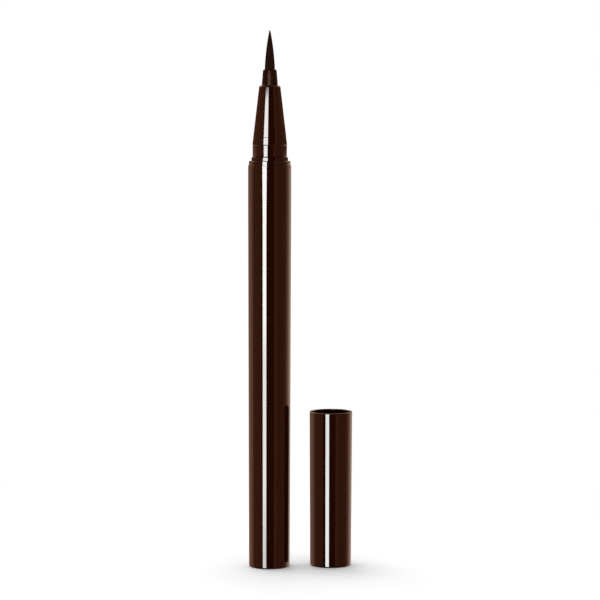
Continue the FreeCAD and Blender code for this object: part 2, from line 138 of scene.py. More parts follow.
class PenBodySizes(bpy.types.PropertyGroup):
    """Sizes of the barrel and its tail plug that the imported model's boxes don't give."""

    bore_radius: length("Bore radius", 3.95, "Bore of the barrel")
    tail_radius: length("Tail radius", 5.05, "Outer radius of the barrel at its tail")
    land_length: length("Land", 8.0, "Straight stretch behind the barrel's front edge")
    tail_rounding: length("Tail rounding", 0.45, "Rounding of the barrel's tail edge")
    front_rounding: length("Front rounding", 0.04, "Rounding of the barrel's front edge")
    edge_break: length("Edge break", 0.015, "Small rounding on every edge that looks sharp")
    seal_play: length("Seal play", 0.03, "Gap between a ring seal and its groove")
    seal_depth: length("Seal groove depth", 0.47, "Depth of a ring seal's groove")
    plug_wall: length("Plug wall", 1.0, "Wall of the tail plug's cup")
    plug_floor: length("Plug floor", 1.5, "Thickness of the tail plug's end")
    plug_rounding: length("Plug rounding", 0.2, "Rounding of the tail plug's outer edge")
    plug_dish_radius: length("Dish radius", 2.6, "Radius of the shallow dish in the tail face")
    plug_dish_depth: length("Dish depth", 0.18, "Depth of that dish")


class PenNoseSizes(bpy.types.PropertyGroup):
    """Sizes of the collar, nose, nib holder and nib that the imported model's boxes don't give."""

    collar_band_height: length("Collar band", 1.05, "Height of the collar's wide band")
    collar_shoulder_radius: length("Shoulder radius", 4.55, "Foot of the collar's sloping shoulder")
    collar_top_radius: length("Collar top radius", 4.46, "Collar radius at its top")
    collar_rounding: length("Collar rounding", 0.05, "Rounding of the collar's outer edges")
    collar_seam: length("Collar seam", 0.05, "Depth and half width of the seam at the shoulder's foot")
    spigot_radius: length("Spigot radius", 3.92, "Part of the nose that goes into the barrel")
    snap_groove_radius: length("Snap groove radius", 3.75, "Groove that holds the snap ring")
    seat_bevel: length("Seat bevel", 0.20, "Height of the bevel at the cap seat's foot, beside the collar")
    bevel_depth: length("Bevel depth", 0.07, "Depth of the bevels at the cap seat's two seams")
    root_radius: length("Cone root radius", 4.06, "Nose cone at its root")
    tip_radius: length("Cone tip radius", 2.574, "Nose cone at its front")
    tip_rounding: length("Cone tip rounding", 0.55, "Rounding of the nose cone's front edge")
    snap_rounding: length("Snap ring rounding", 0.03, "Rounding of the snap ring's crest")
    snap_bevel: length("Snap ring bevel", 0.10, "Height of the bevels at the snap ring's lower seam")
    root_bevel: length("Cone root bevel", 0.05, "Size of the bevels at the snap ring's upper seam")
    passage_radius: length("Passage radius", 2.45, "Passage through the nose")
    front_bore_radius: length("Front bore radius", 2.01, "Bore that grips the nib holder")
    holder_grip: length("Holder grip", 9.6, "Length of the nib holder inside the nose's front bore")
    holder_radius: length("Holder radius", 1.98, "Nib holder where it leaves the nose")
    holder_tip_radius: length("Holder tip radius", 1.66, "Nib holder at its front")
    holder_rounding: length("Holder rounding", 0.4, "Rounding of the nib holder's front edge")
    holder_flange: length("Holder flange", 1.4, "Height of the nib holder's flange")
    nib_play: length("Nib play", 0.03, "Gap between the nib and its holder")
    core_play: length("Core play", 0.03, "Gap between the fibre core and the nib holder")
    flank_radius: length("Flank radius", 60.0, "Radius of the nib's swelling flank, seen from the side")
    point_radius: length("Point radius", 0.16, "Rounding of the nib's point")
    fibre_ridge: length("Fibre ridge", 0.014, "Depth of the furrows between the nib's fibre strands")


class PenCapSizes(bpy.types.PropertyGroup):
    """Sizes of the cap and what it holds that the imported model's boxes don't give."""

    end_radius: length("End radius", 5.09, "Cap radius at its closed end")
    end_rounding: length("End rounding", 0.45, "Rounding of the cap's closed end")
    rim_rounding: length("Rim rounding", 0.2, "Rounding of the cap's rim outside")
    lip_rounding: length("Lip rounding", 0.15, "Rounding of the cap's rim inside")
    mouth_radius: length("Mouth radius", 4.62, "Widest part of the cap's mouth, at its rim")
    mouth_depth: length("Mouth depth", 1.4, "Depth of that wider part")
    soft_rounding: length("Soft rounding", 0.3, "Rounding of the edges inside the cap")
    bore_radius: length("Bore radius", 4.40, "Bore at the cap's mouth")
    bore_lead: length("Bore lead", 0.2, "Depth of the retainer below the end of the bore")
    ring_play: length("Ring play", 0.03, "Gap round the retainer")
    guide_radius: length("Guide radius", 4.03, "Bore that guides the inner cap")
    floor: length("Floor", 1.1, "Thickness of the cap's closed end")
    boss_radius: length("Boss radius", 1.7, "Bosses that centre the spring")
    boss_height: length("Boss height", 1.0, "Height of those bosses")
    ring_inner_radius: length("Ring inner radius", 3.19, "Opening of the retainer")
    cup_radius: length("Cup radius", 3.1, "Inner cap below its flange")
    cup_draft: length("Cup draft", 0.4, "How much narrower the inner cap is at its closed end")
    cup_wall: length("Cup wall", 0.8, "Wall of the inner cap")
    cup_flange: length("Cup flange", 1.6, "Height of the inner cap's guide flange")
    wire_radius: length("Wire radius", 0.2, "Section radius of the spring's wire")
    spring_turns: bpy.props.FloatProperty(
        name="Spring turns", description="Open turns between the spring's closed ends",
        default=4.0, min=1.0)
    closed_turns: bpy.props.FloatProperty(
        name="Closed turns", description="Turns that lie flat at each end of the spring",
        default=0.75, min=0.0)


class PenFinish(bpy.types.PropertyGroup):
    """Colours and gloss of the six finishes."""

    shell_colour: colour("Shell", (0.0165, 0.0028, 0.0003), "Gloss plastic of the barrel, nose and cap")
    shell_roughness: share("Shell roughness", 0.035, "Roughness of the polished shells")
    shell_coat: share("Shell coat", 0.10, "Clear gloss over the shells")
    satin_colour: colour("Satin", (0.0150, 0.0045, 0.0012), "Satin plastic of the nib holder")
    satin_tint: colour("Satin reflection", (1.0, 0.66, 0.60), "Tint of the satin plastic's own reflection")
    satin_gloss: share("Satin gloss", 0.10, "Reflection of the satin plastic, where a half is plain")
    satin_roughness: share("Satin roughness", 0.30, "Roughness of the satin plastic")
    fibre_colour: colour("Fibre", (0.0185, 0.0072, 0.0042), "Fibre soaked with ink")
    natural_colour: colour("Natural", SLOT_COLOURS["natural_plastic"], "Uncoloured plastic inside")
    rubber_colour: colour("Rubber", SLOT_COLOURS["seal_rubber"], "Ring seals")
    steel_colour: colour("Steel", SLOT_COLOURS["bright_steel"], "Mixing ball and spring")


class PenStage(bpy.types.PropertyGroup):
    """Camera, floor and light."""

    camera_across: length("Camera across", 7.41, "Camera to the right of the pen's axis")
    camera_away: length("Camera away", 620.0, "Camera in front of the pen's axis")
    camera_height: length("Camera height", 114.5, "Camera above the table")
    camera_tilt: bearing("Camera tilt", 4.4425, "How far the camera looks down")
    camera_roll: bearing("Camera roll", 0.10, "How far the camera leans to the left")
    focal_length: bpy.props.FloatProperty(
        name="Focal length", description="Lens in millimetres on a 36 mm sensor", default=151.23, min=1.0,
        subtype="DISTANCE_CAMERA")
    floor_radius: length("Floor radius", 260.0, "Radius of the round floor")
    floor_colour: colour("Floor", (0.98, 0.98, 0.98), "Paint of the floor")
    softbox_left: bearing("Softbox left", -36.8, "Left edge of the tall softbox, seen from the pen")
    softbox_right: bearing("Softbox right", -17.3, "Right edge of the tall softbox, seen from the pen")
    softbox_flare: bearing("Softbox flare", 5.0, "How much wider the softbox is at each side of its top")
    flare_low: length("Flare foot", 50.0, "Height at which the softbox begins to widen")
    flare_high: length("Flare head", 130.0, "Height at which it has its full width")
    softbox_away: length("Softbox away", 550.0, "Softbox to the pen's axis")
    softbox_drop: length("Softbox drop", 450.0, "How far the softbox reaches below the table")
    softbox_high: length("Softbox high", 255.0, "Upper end of the softbox")
    softbox_slant: length("Softbox slant", 21.0, "How much lower that end is for each radian to the left")
    softbox_fade: length("Softbox fade", 11.0, "How far down from its upper end the softbox fades in")
    softbox_turn: bearing("Softbox turn", 8.6, "How much further right the cap's softbox stands")
    holder_turn: bearing("Holder turn", 17.0, "How much further right the nib holder's softbox stands")
    softbox_strength: strength("Softbox strength", 21.5, "Brightness of the softbox in reflections")
    lamp_power: strength("Lamp power", 1.7, "Watts of the soft lamp overhead")
    lamp_width: length("Lamp width", 300.0, "Width of that lamp")
    fill_level: strength("Fill level", 0.70, "Even light of the room on matt surfaces")
    front_level: strength("Front level", 0.03, "Room brightness behind the viewer, seen in the gloss")
    card_colour: colour("Card colour", (1.0, 0.36, 0.21), "Colour of the cards at both sides")
    left_sweep_colour: colour("Left sweep colour", (1.0, 0.50, 0.34), "Colour of the sweep at the left")
    right_sweep_colour: colour("Right sweep colour", (1.0, 0.72, 0.58), "Colour of the sweep at the right")
    left_card_level: strength("Left card", 0.36, "Brightness of the card on the left")
    right_card_level: strength("Right card", 0.27, "Brightness of the card on the right")
    card_drop: share("Card drop", 0.6, "How much of both cards is lost above eye level, straight behind")
    right_card_edge: strength("Right card edge", 0.22, "How much brighter that card is at its near edge")
    left_sweep_level: strength("Left sweep", 0.50, "How much brighter the sweep is at the left")
    left_sweep_drop: strength("Left sweep drop", 0.55, "How much of that is lost straight behind")
    right_sweep_level: strength("Right sweep", 1.03, "How much brighter the sweep is at the right")
    right_sweep_drop: strength("Right sweep drop", 0.65, "How much of that is lost straight behind")
    back_level: strength("Back level", 1.2, "How much brighter the backdrop is well above eye level")
    depth_drop: share("Depth drop", 0.7, "How much of the cards and sweeps is lost far below eye level")
    overhead_colour: colour("Overhead colour", (1.0, 0.85, 0.62), "Colour of the backdrop and overhead")
    overhead_level: strength("Overhead level", 0.35, "Room brightness overhead, seen in the gloss")


# Node trees

class Value:
    """An output socket that can stand in arithmetic: each operation adds a Math node to its tree."""

    def __init__(self, tree, socket):
        self.tree = tree
        self.socket = socket

    def _math(self, operation, first, second=0.0):
        return self.tree.node("ShaderNodeMath", {"operation": operation}, {0: first, 1: second})["Value"]

    def __add__(self, other):
        return self._math("ADD", self, other)

    def __radd__(self, other):
        return self._math("ADD", other, self)

    def __sub__(self, other):
        return self._math("SUBTRACT", self, other)

    def __rsub__(self, other):
        return self._math("SUBTRACT", other, self)

    def __mul__(self, other):
        return self._math("MULTIPLY", self, other)

    def __rmul__(self, other):
        return self._math("MULTIPLY", other, self)

    def absolute(self):
        return self._math("ABSOLUTE", self)

    def step(self, low, high):
        """Nought below low, one above high and a smooth rise between."""
        settings = {"interpolation_type": "SMOOTHSTEP"}
        return self.tree.node("ShaderNodeMapRange", settings, {
            "Value": self, "From Min": low, "From Max": high, "To Min": 0.0, "To Max": 1.0})["Result"]


class Made:
    """A node that was added, whose outputs are values by name."""

    def __init__(self, tree, node):
        self.tree = tree
        self.node = node

    def __getitem__(self, name):
        return Value(self.tree, self.node.outputs[name])


class Tree:
    """A material's or the world's node tree, emptied and ready to be filled."""

    def __init__(self, owner):
        owner.use_nodes = True
        self.nodes = owner.node_tree.nodes
        self.links = owner.node_tree.links
        self.nodes.clear()

    def node(self, kind, settings=None, inputs=None):
        """Adds one node: its settings first, then the values or links of its sockets by name or number."""
        made = self.nodes.new(kind)
        for setting, value in (settings or {}).items():
            setattr(made, setting, value)
        for name, value in (inputs or {}).items():
            if isinstance(value, Value):
                self.links.new(value.socket, made.inputs[name])
            else:
                made.inputs[name].default_value = value
        return Made(self, made)

    def place(self):
        """Object coordinates, which are metres in the model's frame."""
        return self.node("ShaderNodeTexCoord")["Object"]

    def stretched(self, vector, across, along):
        """Coordinates scaled by across in X and Y and by along in Z."""
        return self.node("ShaderNodeVectorMath", {"operation": "MULTIPLY"},
                         {0: vector, 1: (across, across, along)})["Vector"]

    def noise(self, vector, scale, detail, roughness=0.5):
        """Soft noise between nought and one, with scale features to the metre."""
        return self.node("ShaderNodeTexNoise", {"noise_dimensions": "3D"}, {
            "Vector": vector, "Scale": scale, "Detail": detail, "Roughness": roughness})["Fac"]

    def blend(self, factor, first, second):
        """A mix of two colours, each a value or plain numbers."""
        first, second = (side if isinstance(side, Value) else (*side, 1.0) for side in (first, second))
        return self.node("ShaderNodeMix", {"data_type": "RGBA"}, {
            "Factor": factor, "A": first, "B": second})["Result"]

    def shades(self, factor, base, low, high):
        """A colour times a number that goes from low to high with the factor."""
        return self.blend(factor, scaled(base, low), scaled(base, high))

    def bump(self, height, distance):
        """A normal that is tilted by a height between nought and one, over the given distance in metres."""
        return self.node("ShaderNodeBump", None, {
            "Height": height, "Distance": distance, "Strength": 1.0})["Normal"]

    def bearing_and_height(self, vector):
        """A vector's bearing in radians, to the right from the viewer's side, and its upward part."""
        part = self.node("ShaderNodeSeparateXYZ", None, {0: vector})
        turn = self.node("ShaderNodeMath", {"operation": "ARCTAN2"}, {0: part["X"], 1: 0.0 - part["Y"]})
        return turn["Value"], part["Z"]


def scaled(base, factor):
    """A colour times a factor."""
    return tuple(channel * factor for channel in base)


PLASTIC_IOR = 1.5


def finish_material(slot):
    """The material of a slot, made once, whose surface is what the slot's finish puts into its tree."""
    material = bpy.data.materials.get(f"{slot}_finish")
    if material is None:
        material = bpy.data.materials.new(f"{slot}_finish")
        tree = Tree(material)
        sockets = FINISHES[slot](tree, bpy.context.scene.pen_finish)
        surface = tree.node("ShaderNodeBsdfPrincipled", None, sockets)
        tree.node("ShaderNodeOutputMaterial", None, {"Surface": surface["BSDF"]})
    return material


def gloss_shell(tree, finish):
    """Polished dark plastic: a faint flow in the colour, hairline scuffs and a slight orange peel."""
    place = tree.place()
    flow = tree.noise(tree.stretched(place, across=1.0, along=0.25), scale=260.0, detail=3.0)
    hairs = tree.noise(tree.stretched(place, across=1.0, along=0.04), scale=5200.0, detail=1.0)
    peel = tree.noise(place, scale=420.0, detail=1.0)
    return {
        "Base Color": tree.shades(flow, finish.shell_colour, low=0.93, high=1.07),
        "Roughness": finish.shell_roughness + hairs.step(low=0.58, high=0.80) * 0.02,
        "Normal": tree.bump(peel, distance=5e-7),
        "IOR": PLASTIC_IOR,
        "Coat Weight": finish.shell_coat,
        "Coat Roughness": 0.02,
    }


def satin_plastic(tree, finish):
    """Moulded plastic with a fine sparked texture."""
    place = tree.place()
    grain = tree.noise(place, scale=9000.0, detail=2.0)
    patch = tree.noise(place, scale=700.0, detail=2.0)
    return {
        "Base Color": tree.shades(patch, finish.satin_colour, low=0.8, high=1.2),
        "Roughness": finish.satin_roughness + grain * 0.10,
        "Normal": tree.bump(grain, distance=6e-6),
        "IOR": PLASTIC_IOR,
        "Specular IOR Level": finish.satin_gloss,
        "Specular Tint": (*finish.satin_tint, 1.0),
    }


def inked_fibre(tree, finish):
    """Fibre soaked with ink: fine strands along the length, some a little drier than others."""
    place = tree.place()
    drawn = tree.stretched(place, across=1.0, along=0.03)
    strands = tree.noise(drawn, scale=9000.0, detail=3.0, roughness=0.6)
    damp = tree.noise(place, scale=500.0, detail=2.0)
    dryness = strands.step(low=0.35, high=0.75) * 0.7 + damp * 0.3
    return {
        "Base Color": tree.shades(dryness, finish.fibre_colour, low=0.75, high=1.7),
        "Roughness": 0.62 + strands * 0.25,
        "Normal": tree.bump(strands, distance=2.5e-5),
        "IOR": 1.45,
        "Specular IOR Level": 0.004,
    }


def natural_plastic(tree, finish):
    """Uncoloured plastic: milky, with soft flow marks and a light satin."""
    place = tree.place()
    cloud = tree.noise(place, scale=350.0, detail=3.0)
    grain = tree.noise(place, scale=8000.0, detail=1.0)
    return {
        "Base Color": tree.shades(cloud, finish.natural_colour, low=0.9, high=1.0),
        "Roughness": 0.34 + cloud * 0.12,
        "Normal": tree.bump(grain, distance=4e-6),
        "IOR": PLASTIC_IOR,
        "Subsurface Weight": 0.15,
        "Subsurface Radius": (0.0012, 0.0010, 0.0008),
        "Subsurface Scale": 1.0,
    }


def seal_rubber(tree, finish):
    """Matte rubber with a faint bloom."""
    place = tree.place()
    bloom = tree.noise(place, scale=2500.0, detail=3.0)
    return {
        "Base Color": tree.shades(bloom, finish.rubber_colour, low=0.7, high=1.6),
        "Roughness": 0.55 + bloom * 0.3,
        "Normal": tree.bump(bloom, distance=1e-5),
        "IOR": PLASTIC_IOR,
    }


def bright_steel(tree, finish):
    """Drawn and polished steel with fine lines."""
    place = tree.place()
    lines = tree.noise(tree.stretched(place, across=0.15, along=1.0), scale=9000.0, detail=2.0)
    return {
        "Base Color": tree.shades(lines, finish.steel_colour, low=0.85, high=1.0),
        "Roughness": 0.12 + lines * 0.14,
        "Normal": tree.bump(lines, distance=2e-6),
        "Metallic": 1.0,
    }


FINISHES = {
    "gloss_shell": gloss_shell,
    "satin_plastic": satin_plastic,
    "inked_fibre": inked_fibre,
    "natural_plastic": natural_plastic,
    "seal_rubber": seal_rubber,
    "bright_steel": bright_steel,
}


# Surfaces

ARC_STEPS = 10
TURN_STEPS = 192


def round_angles(count):
    """Angles of equal steps once round a circle."""
    return np.linspace(0.0, 2 * np.pi, count, endpoint=False)


def smooth(values):
    """Values held between nought and one and eased at both: three squares less two cubes."""
    held = np.clip(values, 0.0, 1.0)
    return held * held * (3 - 2 * held)


def rounded_outline(corners, closed):
    """Points and outward normals, as radius and height, of an outline whose corners are arcs.

    Each row of corners is radius, height and rounding, and the material lies on the left of the way along.
    At a corner the two straight sides are cut back by the rounding times the tangent of half the turn, and
    an arc of that radius joins them. The outward normal is the way along turned a quarter to the right. An
    open outline starts and ends on the axis, where it has no arc.
    """
    rows = np.asarray(corners, float)
    spots, roundings = rows[:, :2], rows[:, 2:]
    way_in = spots - np.roll(spots, 1, axis=0)
    way_out = np.roll(spots, -1, axis=0) - spots
    angle_in = np.arctan2(way_in[:, 1], way_in[:, 0])[:, None]
    angle_out = np.arctan2(way_out[:, 1], way_out[:, 0])[:, None]
    turn = (angle_out - angle_in + np.pi) % (2 * np.pi) - np.pi
    side = np.sign(turn)
    cut = roundings * np.tan(np.abs(turn) / 2)
    start = spots - np.hstack([np.cos(angle_in), np.sin(angle_in)]) * cut
    centre = start + side * roundings * np.hstack([-np.sin(angle_in), np.cos(angle_in)])
    angles = angle_in + turn * np.linspace(0.0, 1.0, ARC_STEPS + 1)
    normals = np.stack([np.sin(angles), -np.cos(angles)], axis=-1)
    points = centre[:, None, :] + (side * roundings)[:, None, :] * normals
    if closed:
        return points.reshape(-1, 2), normals.reshape(-1, 2)
    inner_points = points[1:-1].reshape(-1, 2)
    inner_normals = normals[1:-1].reshape(-1, 2)
    start_normal = np.hstack([np.sin(angle_out[0]), -np.cos(angle_out[0])])[None]
    end_normal = np.hstack([np.sin(angle_in[-1]), -np.cos(angle_in[-1])])[None]
    return (np.concatenate([spots[:1], inner_points, spots[-1:]]),
            np.concatenate([start_normal, inner_normals, end_normal]))


def grid_faces(rows, columns, first=0, closed_rows=False):
    """Four-cornered faces of a grid that closes round its columns, and round its rows if asked."""
    index = first + np.arange(rows * columns).reshape(rows, columns)
    beside = np.roll(index, -1, axis=1)
    above = np.roll(index, -1, axis=0)
    above_beside = np.roll(beside, -1, axis=0)
    faces = np.stack([index, beside, above_beside, above], axis=-1)
    if not closed_rows:
        faces = faces[:-1]
    return faces.reshape(-1, 4)


def capped_faces(rows, columns, first, high_tip):
    """Faces of a grid whose ends are closed by fans: to vertex nought at its foot, to the high tip above."""
    lowest = first + np.arange(columns)
    highest = lowest + (rows - 1) * columns
    low_fan = np.stack([np.zeros_like(lowest), np.roll(lowest, -1), lowest], axis=-1)
    high_fan = np.stack([highest, np.roll(highest, -1), np.full_like(highest, high_tip)], axis=-1)
    return [grid_faces(rows, columns, first), low_fan, high_fan]


def make_piece(name, vertices, faces, normals=None):
    """A smooth mesh object at the origin from vertices, a list of face arrays and any vertex normals."""
    mesh = bpy.data.meshes.new(name)
    mesh.from_pydata(vertices.tolist(), [], [face for group in faces for face in group.tolist()])
    mesh.polygons.foreach_set("use_smooth", np.ones(len(mesh.polygons), dtype=bool))
    mesh.validate()
    if normals is not None:
        mesh.normals_split_custom_set_from_vertices(normals.tolist())
    piece = bpy.data.objects.new(name, mesh)
    bpy.context.scene.collection.objects.link(piece)
    return piece


def dress(piece, node, body, slot):
    """Lets a new piece stand for a CAD node on its body, with the finish of a record slot."""
    piece.data.materials.append(finish_material(slot))
    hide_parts(node)
    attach(piece, body)


def turned_piece(name, cad, body, slot, corners):
    """Turns an outline about a CAD node's axis into a solid that stands for that node.

    An outline point at angle a is the axis plus its radius times (cos a, sin a), at its own height. An
    outline whose first and last corners lie on the axis is closed there by one vertex each; any other is a
    ring.
    """
    closed = corners[0][0] > 0.0
    points, normals = rounded_outline(corners, closed)
    angles = round_angles(TURN_STEPS)
    around = np.stack([np.cos(angles), np.sin(angles)], axis=-1)

    def carried(profile, offset):
        across = profile[:, None, :1] * around[None] + offset
        up = np.repeat(profile[:, None, 1:], TURN_STEPS, axis=1)
        return np.concatenate([across, up], axis=-1)

    grid = carried(points, np.asarray(cad.axis))
    directions = carried(normals, np.zeros(2))
    if closed:
        vertices = grid.reshape(-1, 3)
        vertex_normals = directions.reshape(-1, 3)
        faces = [grid_faces(len(points), TURN_STEPS, closed_rows=True)]
    else:
        vertices = np.concatenate([grid[0, :1], grid[1:-1].reshape(-1, 3), grid[-1, :1]])
        vertex_normals = np.concatenate([[DOWN], directions[1:-1].reshape(-1, 3), [UP]])
        faces = capped_faces(len(points) - 2, TURN_STEPS, first=1, high_tip=len(vertices) - 1)
    dress(make_piece(name, vertices, faces, vertex_normals), cad.node, body, slot)


# Strands counted round the nib, and the size, count and start of the two slow waves that bend its furrows
STRAND_COUNTS = (29, 47)
FURROW_WAVES = ((0.9, 3, 0.0), (0.6, 5, 1.0))
NIB_ROWS = 120
POINT_ROWS = 10


def fibre_nib(nib, mouth, size):
    """Vertices and faces of the nib on a grid of height and angle.

    From the mouth of its holder up, the radius follows a circle of the flank radius through the nib's radius
    at the mouth and the point's radius at the top, and a quarter circle closes the point. Two cosines round
    the axis, of different counts and bent by two slow waves, sink furrows into that radius; they are deepest
    at the mouth and run out at the point.
    """
    point = size.point_radius
    foot = np.array([nib.radius, mouth])
    top = np.array([point, nib.high - point])
    chord = top - foot
    inward = np.array([-chord[1], chord[0]]) / np.hypot(*chord)
    reach = math.sqrt(size.flank_radius ** 2 - chord.dot(chord) / 4)
    centre = (foot + top) / 2 + inward * reach
    flank_heights = np.linspace(mouth, nib.high - point, NIB_ROWS)
    flank_radii = centre[0] + np.sqrt(size.flank_radius ** 2 - (flank_heights - centre[1]) ** 2)
    bend = np.linspace(0.0, np.pi / 2, POINT_ROWS + 1)[1:-1]
    heights = np.concatenate([[nib.low], flank_heights, nib.high - point + point * np.sin(bend)])
    radii = np.concatenate([[nib.radius], flank_radii, point * np.cos(bend)])
    angles = round_angles(TURN_STEPS)
    sway = sum(swing * np.sin(count * angles + start) for swing, count, start in FURROW_WAVES)
    strands = np.cos(STRAND_COUNTS[0] * angles + sway) + np.cos(STRAND_COUNTS[1] * angles - sway)
    furrows = 0.5 - 0.25 * strands
    fade = np.clip(radii / nib.radius, 0.0, 1.0)
    fade[0] = 0.0
    ring_radii = radii[:, None] - size.fibre_ridge * fade[:, None] * furrows[None]
    grid = np.stack([
        nib.axis[0] + ring_radii * np.cos(angles),
        nib.axis[1] + ring_radii * np.sin(angles),
        np.repeat(heights[:, None], TURN_STEPS, axis=1)], axis=-1)
    ends = np.array([[*nib.axis, nib.low], [*nib.axis, nib.high]])
    vertices = np.concatenate([ends, grid.reshape(-1, 3)])
    return vertices, capped_faces(len(heights), TURN_STEPS, first=2, high_tip=1)


# The closed ends rise by this many wire radii in a turn, and the pitch changes within this part of a turn
CLOSED_PITCH = 2.05
EASE_TURNS = 0.25
STEPS_PER_TURN = 64
WIRE_STEPS = 16


def wound_wire(coil, size):
    """Vertices and faces of a wire carried along a helix with closed ends.

    The wire's middle is one wire radius inside the coil's radius, and its height is the running sum of the
    pitch: little more than the wire's thickness for each turn in the closed ends, and the rest of the height
    shared among the open turns, with a smooth change between. The round section stands on the radial
    direction and on the upright one. A fan closes each end.
    """
    wire = size.wire_radius
    middle_radius = coil.radius - wire
    turns = size.spring_turns + 2 * size.closed_turns
    steps = int(turns * STEPS_PER_TURN) + 1
    place = np.linspace(0.0, turns, steps)
    from_end = np.minimum(place, turns - place)
    ease = smooth((from_end - size.closed_turns) / EASE_TURNS + 0.5)
    run = (coil.high - coil.low) - 2 * wire
    closed_pitch = CLOSED_PITCH * wire
    open_pitch = (run - closed_pitch * turns * np.mean(1 - ease)) / (turns * np.mean(ease))
    pitch = closed_pitch + (open_pitch - closed_pitch) * ease
    rise = np.concatenate([[0.0], np.cumsum((pitch[1:] + pitch[:-1]) / 2 * np.diff(place))])
    heights = coil.low + wire + rise * run / rise[-1]
    angles = 2 * np.pi * place
    outward = np.stack([np.cos(angles), np.sin(angles), np.zeros_like(angles)], axis=-1)
    upward = np.array(UP)
    path = np.array([*coil.axis, 0.0]) + middle_radius * outward + heights[:, None] * upward
    section = round_angles(WIRE_STEPS)[None, :, None]
    rings = path[:, None, :] + wire * (np.sin(section) * outward[:, None, :] + np.cos(section) * upward)
    vertices = np.concatenate([path[:1], path[-1:], rings.reshape(-1, 3)])
    return vertices, capped_faces(steps, WIRE_STEPS, first=2, high_tip=1)


# Operators

class PieceOperator:
    """What the operators of pieces share: each can be undone."""

    bl_options = {"REGISTER", "UNDO"}


class PEN_OT_barrel(PieceOperator, bpy.types.Operator):
    """Turn the long gloss tube"""

    bl_idname = "pen.make_barrel"
    bl_label = "Barrel"

    def execute(self, context):
        size = context.scene.pen_body
        tube = Turned("barrel")
        turned_piece("pen_barrel", tube, "pen", "gloss_shell", [
            (size.bore_radius, tube.low, size.edge_break),
            (size.tail_radius, tube.low, size.tail_rounding),
            (tube.radius, tube.high - size.land_length, size.land_length),
            (tube.radius, tube.high, size.front_rounding),
            (size.bore_radius, tube.high, size.edge_break),
        ])
        return {"FINISHED"}


def seal_groove(size, seal, radius):
    """Corners of a ring seal's groove in a spigot of the given radius, from its lower to its upper edge."""
    low = seal.low - size.seal_play
    high = seal.high + size.seal_play
    root = radius - size.seal_depth
    edge = size.edge_break
    return [(radius, low, edge), (root, low, edge), (root, high, edge), (radius, high, edge)]


class PEN_OT_tail_plug(PieceOperator, bpy.types.Operator):
    """Turn the plug that closes the barrel's tail, with its shallow dish"""

    bl_idname = "pen.make_tail_plug"
    bl_label = "Tail plug"

    def execute(self, context):
        size = context.scene.pen_body
        plug = Turned("tail_plug")
        edge = size.edge_break
        dish_floor = plug.low + size.plug_dish_depth
        cup_radius = plug.radius - size.plug_wall
        cup_floor = plug.low + size.plug_floor
        turned_piece("pen_tail_plug", plug, "pen", "gloss_shell", [
            (0.0, dish_floor, 0.0),
            (size.plug_dish_radius, dish_floor, size.plug_dish_depth / 2),
            (size.plug_dish_radius + size.plug_dish_depth, plug.low, size.plug_dish_depth / 2),
            (plug.radius, plug.low, size.plug_rounding),
            *seal_groove(size, Turned("tail_seal"), plug.radius),
            (plug.radius, plug.high, edge),
            (cup_radius, plug.high, edge),
            (cup_radius, cup_floor, size.plug_rounding),
            (0.0, cup_floor, 0.0),
        ])
        return {"FINISHED"}


class PEN_OT_rings(PieceOperator, bpy.types.Operator):
    """Turn the collar ring and the snap ring, with the fine seams beside them"""

    bl_idname = "pen.make_rings"
    bl_label = "Collar and snap ring"

    def execute(self, context):
        body = context.scene.pen_body
        size = context.scene.pen_nose
        edge = body.edge_break
        collar = Turned("collar_ring")
        band_top = collar.low + size.collar_band_height
        seam = size.collar_seam
        turned_piece("pen_collar_ring", collar, "pen", "gloss_shell", [
            (body.bore_radius, collar.low, edge),
            (collar.radius, collar.low, edge),
            (collar.radius, band_top, size.collar_rounding),
            (size.collar_shoulder_radius, band_top, edge),
            (size.collar_shoulder_radius - seam, band_top + seam, edge / 2),
            (size.collar_shoulder_radius - seam / 2, band_top + 2 * seam, edge),
            (size.collar_top_radius, collar.high, size.collar_rounding),
            (body.bore_radius, collar.high, edge),
        ])
        snap = Turned("snap_ring")
        inner_radius = size.snap_groove_radius + body.seal_play
        turned_piece("pen_snap_ring", snap, "pen", "gloss_shell", [
            (inner_radius, snap.low, edge),
            (snap.radius - size.bevel_depth, snap.low, edge / 2),
            (snap.radius, snap.low + size.snap_bevel, size.snap_rounding),
            (size.root_radius, snap.high - size.root_bevel, edge / 2),
            (size.root_radius - size.root_bevel, snap.high, edge / 2),
            (inner_radius, snap.high, edge),
        ])
        return {"FINISHED"}


class PEN_OT_front_section(PieceOperator, bpy.types.Operator):
    """Turn the nose: spigot, cap seat with its seam, snap ring groove and cone"""

    bl_idname = "pen.make_front_section"
    bl_label = "Front section"

    def execute(self, context):
        body = context.scene.pen_body
        size = context.scene.pen_nose
        edge = body.edge_break
        nose = Turned("front_section")
        collar = Turned("collar_ring")
        snap = Turned("snap_ring")
        holder_stop = nose.high - size.holder_grip
        bevelled = nose.radius - size.bevel_depth
        turned_piece("pen_front_section", nose, "pen", "gloss_shell", [
            (size.passage_radius, nose.low, edge),
            (size.spigot_radius, nose.low, body.plug_rounding),
            *seal_groove(body, Turned("section_seal"), size.spigot_radius),
            (size.spigot_radius, collar.high, edge),
            (bevelled, collar.high, edge / 2),
            (nose.radius, collar.high + size.seat_bevel, edge / 2),
            (nose.radius, snap.low - size.snap_bevel, edge / 2),
            (bevelled, snap.low, edge / 2),
            (size.snap_groove_radius, snap.low, edge),
            (size.snap_groove_radius, snap.high, edge),
            (size.root_radius - size.root_bevel, snap.high, edge / 2),
            (size.root_radius, snap.high + size.root_bevel, edge / 2),
            (size.tip_radius, nose.high, size.tip_rounding),
            (size.front_bore_radius, nose.high, edge),
            (size.front_bore_radius, holder_stop, edge),
            (size.passage_radius, holder_stop, edge),
        ])
        return {"FINISHED"}


